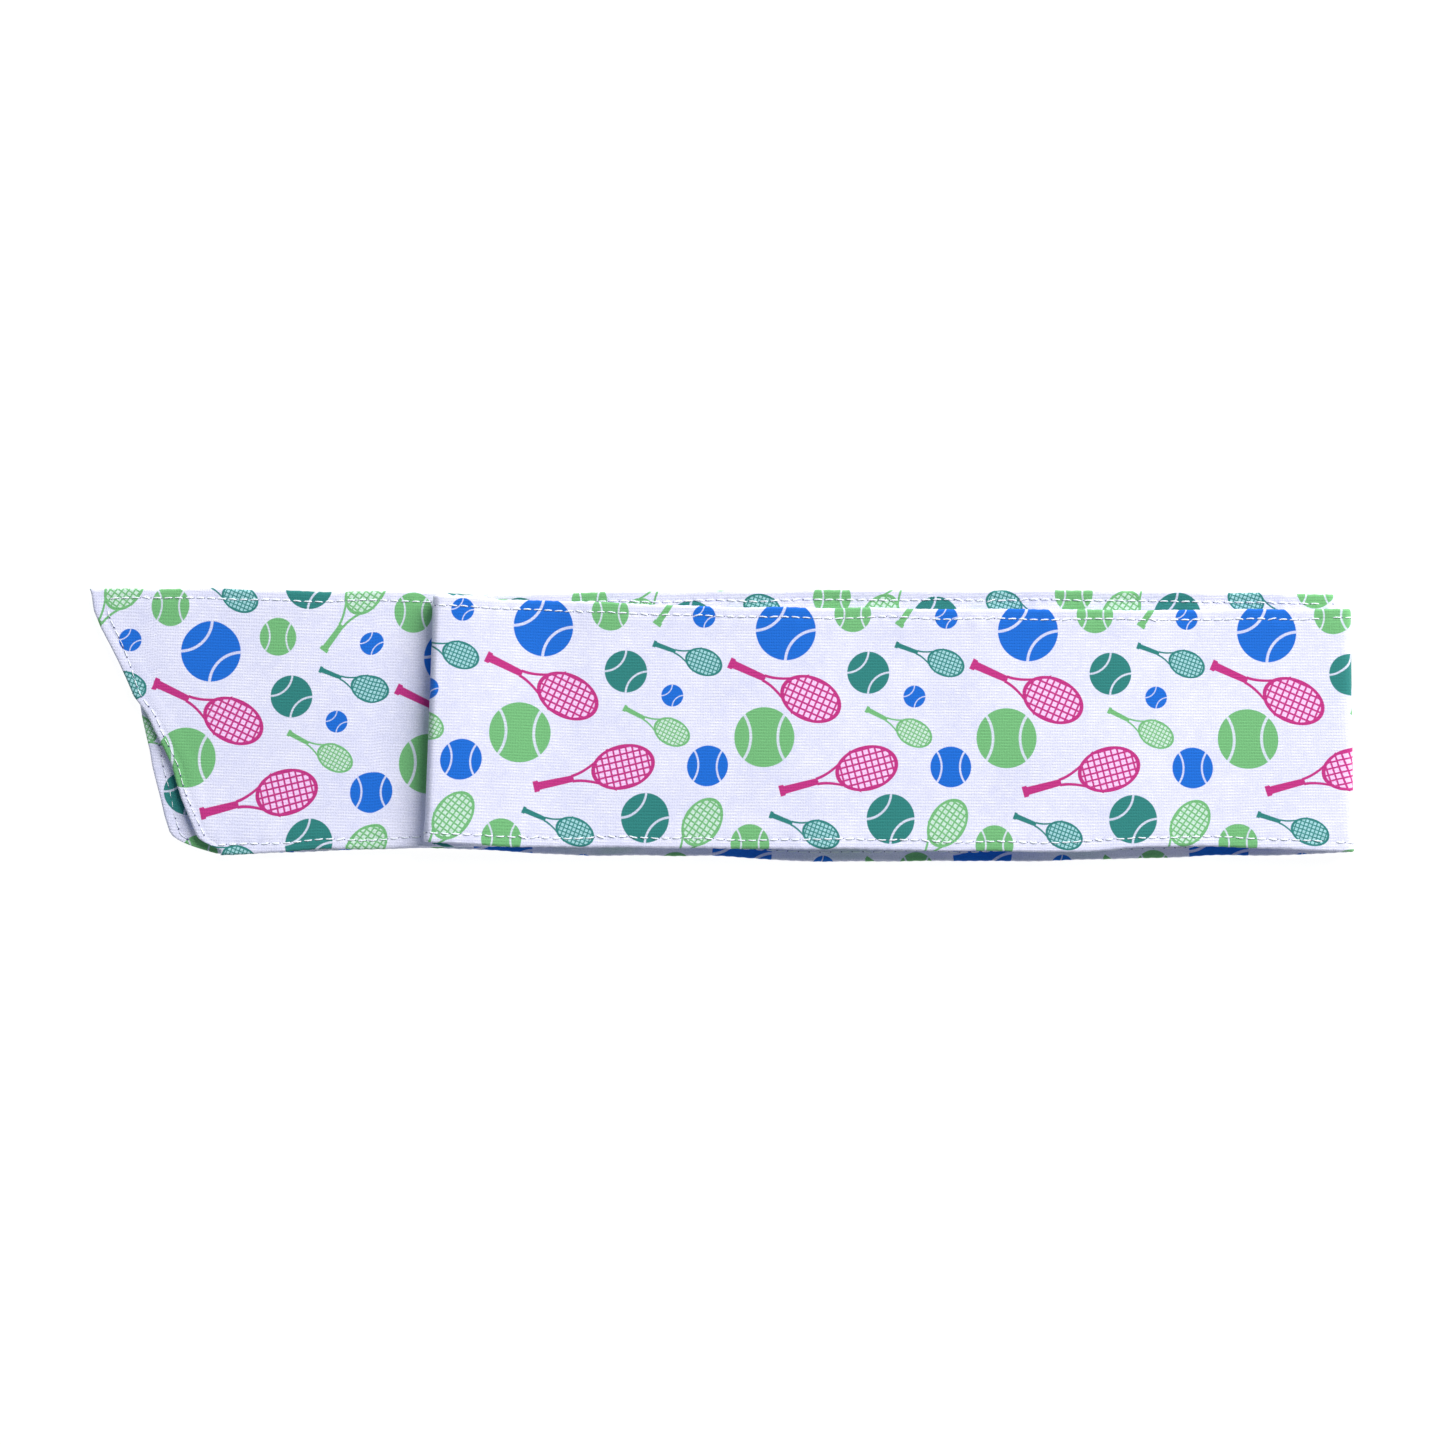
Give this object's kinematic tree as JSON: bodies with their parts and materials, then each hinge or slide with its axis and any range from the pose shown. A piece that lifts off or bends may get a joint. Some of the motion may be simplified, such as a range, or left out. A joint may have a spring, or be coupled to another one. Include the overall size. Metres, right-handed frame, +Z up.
{
  "type": "sports headband",
  "caption": "Long printed cloth tie headband with slanted ends, sewn from two plies and folded in half and in half again.",
  "frame": {"origin": "middle of the underside of the folded pack, on the face that rests on a table", "axes": "+X along the strip towards the outer fold, with the tails at -X; +Y across the strip; +Z up out of the table"},
  "size_m": [0.3086, 0.0673, 0.0072],
  "materials": {
    "front_cloth": "matt fine knit with an all-over racket and ball print in blue, green, teal and pink",
    "back_cloth": "matt fine knit with the same print turned half way round",
    "topstitch_thread": "white spun thread",
    "seam_thread": "off-white spun thread, hidden inside the edge"
  },
  "bodies": {
    "lower_side": {"lower_side_front_cloth": "front_cloth", "lower_side_back_cloth": "back_cloth", "lower_side_topstitch": "topstitch_thread", "lower_side_seam_thread": "seam_thread", "outer_fold_front_cloth": "front_cloth", "outer_fold_back_cloth": "back_cloth", "outer_fold_topstitch": "topstitch_thread", "outer_fold_seam_thread": "seam_thread"},
    "lower_tail": {"lower_tail_front_cloth": "front_cloth", "lower_tail_back_cloth": "back_cloth", "lower_tail_topstitch": "topstitch_thread", "lower_tail_seam_thread": "seam_thread"},
    "brow": {"brow_right_front_cloth": "front_cloth", "brow_right_back_cloth": "back_cloth", "brow_right_topstitch": "topstitch_thread", "brow_right_seam_thread": "seam_thread", "centre_fold_front_cloth": "front_cloth", "centre_fold_back_cloth": "back_cloth", "centre_fold_topstitch": "topstitch_thread", "centre_fold_seam_thread": "seam_thread", "brow_left_front_cloth": "front_cloth", "brow_left_back_cloth": "back_cloth", "brow_left_topstitch": "topstitch_thread", "brow_left_seam_thread": "seam_thread", "inner_fold_front_cloth": "front_cloth", "inner_fold_back_cloth": "back_cloth", "inner_fold_topstitch": "topstitch_thread", "inner_fold_seam_thread": "seam_thread"},
    "upper_side": {"upper_side_front_cloth": "front_cloth", "upper_side_back_cloth": "back_cloth", "upper_side_topstitch": "topstitch_thread", "upper_side_seam_thread": "seam_thread"},
    "upper_tail": {"upper_tail_front_cloth": "front_cloth", "upper_tail_back_cloth": "back_cloth", "upper_tail_topstitch": "topstitch_thread", "upper_tail_seam_thread": "seam_thread"}
  },
  "joints": [
    {"name": "quarter_fold", "type": "hinge", "parent": "lower_side", "child": "brow", "pos_m": [0.1507, 0, 0.00363], "axis": [0, 1, 0], "range_deg": [0, 178], "deforming": ["outer_fold_front_cloth", "outer_fold_back_cloth", "outer_fold_topstitch", "outer_fold_seam_thread"]},
    {"name": "inner_fold", "type": "hinge", "parent": "brow", "child": "upper_side", "pos_m": [0.1488, 0, 0.00363], "axis": [0, 1, 0], "range_deg": [-178, 0], "deforming": ["inner_fold_front_cloth", "inner_fold_back_cloth", "inner_fold_topstitch", "inner_fold_seam_thread"]},
    {"name": "upper_tail_lift", "type": "hinge", "parent": "upper_side", "child": "upper_tail", "pos_m": [-0.076, 0, 0.00325], "axis": [0, 1, 0], "range_deg": [0, 135]},
    {"name": "lower_tail_drop", "type": "hinge", "parent": "lower_side", "child": "lower_tail", "pos_m": [-0.076, 0, 0], "axis": [0, 1, 0], "range_deg": [-90, 0]}
  ],
  "couplings": [
    {"joint": "inner_fold", "follows": "quarter_fold", "ratio": -1}
  ]
}
